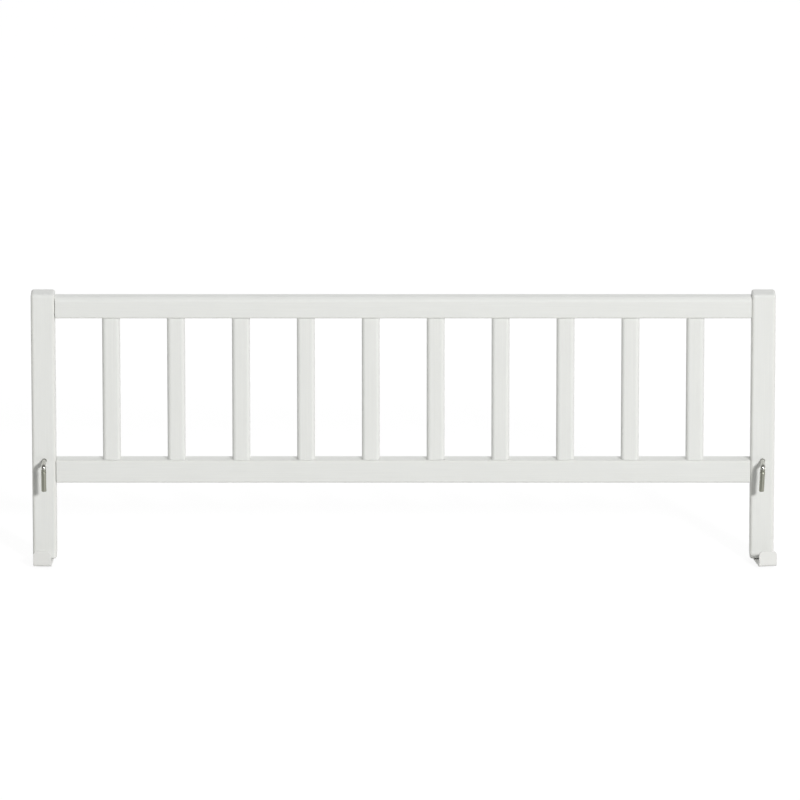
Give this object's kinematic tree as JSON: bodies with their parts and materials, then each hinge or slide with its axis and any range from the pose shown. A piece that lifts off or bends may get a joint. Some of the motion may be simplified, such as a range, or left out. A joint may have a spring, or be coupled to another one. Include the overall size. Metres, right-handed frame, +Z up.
{
  "type": "bed guard rail",
  "caption": "Slatted wooden bed guard with square end posts, two turning steel hooks that reach over a bed's side board and two turning foot brackets that reach under it.",
  "frame": {"origin": "middle of the bottom rail's flat face that looks at the bed", "axes": "+X along the guard to the right as seen from the bed, +Y away from the bed, +Z up"},
  "size_m": [0.9035, 0.0568, 0.3375],
  "materials": {
    "white_lacquered_wood": "opaque white satin lacquer on planed wood",
    "beech_dowel": "plain beech, unfinished",
    "zinc_plated_steel": "zinc plated steel rod, satin",
    "smoke_plastic_sleeve": "thin grey-green soft plastic sleeve, glossy",
    "white_powder_coat": "white powder coat on bent steel strip"
  },
  "bodies": {
    "frame": {"top_rail": "white_lacquered_wood", "bottom_rail": "white_lacquered_wood", "slat_01": "white_lacquered_wood", "slat_02": "white_lacquered_wood", "slat_03": "white_lacquered_wood", "slat_04": "white_lacquered_wood", "slat_05": "white_lacquered_wood", "slat_06": "white_lacquered_wood", "slat_07": "white_lacquered_wood", "slat_08": "white_lacquered_wood", "slat_09": "white_lacquered_wood", "slat_10": "white_lacquered_wood", "post_left": "white_lacquered_wood", "post_right": "white_lacquered_wood", "dowel_top_left_1": "beech_dowel", "dowel_top_left_2": "beech_dowel", "dowel_top_right_1": "beech_dowel", "dowel_top_right_2": "beech_dowel", "dowel_bottom_left_1": "beech_dowel", "dowel_bottom_left_2": "beech_dowel", "dowel_bottom_right_1": "beech_dowel", "dowel_bottom_right_2": "beech_dowel", "foot_screw_left": "zinc_plated_steel", "foot_screw_right": "zinc_plated_steel"},
    "hook_left": {"hook_left": "zinc_plated_steel", "hook_sleeve_left": "smoke_plastic_sleeve"},
    "hook_right": {"hook_right": "zinc_plated_steel", "hook_sleeve_right": "smoke_plastic_sleeve"},
    "foot_left": {"foot_bracket_left": "white_powder_coat"},
    "foot_right": {"foot_bracket_right": "white_powder_coat"}
  },
  "joints": [
    {"name": "hook_left_turn", "type": "hinge", "parent": "frame", "child": "hook_left", "pos_m": [-0.4355, 0, 0.01365], "axis": [0, 1, 0], "range_deg": [-180, 180]},
    {"name": "hook_right_turn", "type": "hinge", "parent": "frame", "child": "hook_right", "pos_m": [0.4355, 0, 0.01365], "axis": [0, 1, 0], "range_deg": [-180, 180]},
    {"name": "foot_left_turn", "type": "hinge", "parent": "frame", "child": "foot_left", "pos_m": [-0.4355, 0.0145, -0.11015], "axis": [0, 0, 1], "range_deg": [-86.5, 93.5]},
    {"name": "foot_right_turn", "type": "hinge", "parent": "frame", "child": "foot_right", "pos_m": [0.4355, 0.0145, -0.11015], "axis": [0, 0, 1], "range_deg": [-100, 80]}
  ]
}
